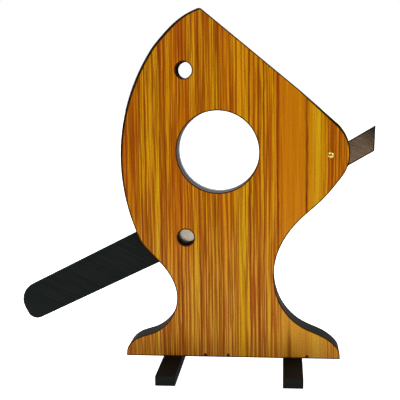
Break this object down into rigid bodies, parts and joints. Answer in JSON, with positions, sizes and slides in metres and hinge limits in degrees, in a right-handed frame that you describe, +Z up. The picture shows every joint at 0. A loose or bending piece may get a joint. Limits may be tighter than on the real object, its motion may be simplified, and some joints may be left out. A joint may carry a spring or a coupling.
{
  "type": "wrist chopper stand",
  "caption": "Upright wood-faced double board with a large wrist hole and two small holes, on two cross bars, with a chopper arm that swings in the slot between the boards on a brass pin.",
  "frame": {"origin": "on the floor, at the middle of the whole object's box at rest, handle and tail included", "axes": "+Z up; the front face of the board looks along -Y; the handle comes out on the -X side and the pivot is on the +X side"},
  "size_m": [0.4704, 0.134, 0.4695],
  "materials": {
    "laminate": "satin wood-grain facing, straight upright grain",
    "board_paint": "satin black paint on the edges",
    "foot_paint": "satin black paint",
    "handle_black": "matte black paint",
    "blade_steel": "brushed flat bar, slightly browned",
    "brass": "polished",
    "screw_steel": "zinc plated",
    "brad_steel": "dark, oxidised",
    "sleeve_steel": "turned",
    "washer_plastic": "natural nylon",
    "dowel_wood": "bare birch"
  },
  "bodies": {
    "stand": {"front_board": "board_paint", "front_laminate": "laminate", "rear_board": "board_paint", "rear_laminate": "laminate", "base_spacer": "board_paint", "raise_stop_dowel": "dowel_wood", "left_foot": "foot_paint", "right_foot": "foot_paint", "left_foot_screws": "screw_steel", "right_foot_screws": "screw_steel", "board_screws": "screw_steel", "edge_brads": "brad_steel", "pivot_bolt": "brass", "pivot_sleeve": "sleeve_steel", "front_slip_washer": "washer_plastic", "rear_slip_washer": "washer_plastic", "nut_washer": "brass", "pivot_nut": "brass"},
    "chopper_arm": {"blade": "blade_steel", "handle": "handle_black", "tang_rivets": "screw_steel"}
  },
  "joints": [
    {"name": "arm_pivot", "type": "hinge", "parent": "stand", "child": "chopper_arm", "pos_m": [0.17756, 0, 0.2827], "axis": [0, 1, 0], "range_deg": [0, 70]}
  ]
}
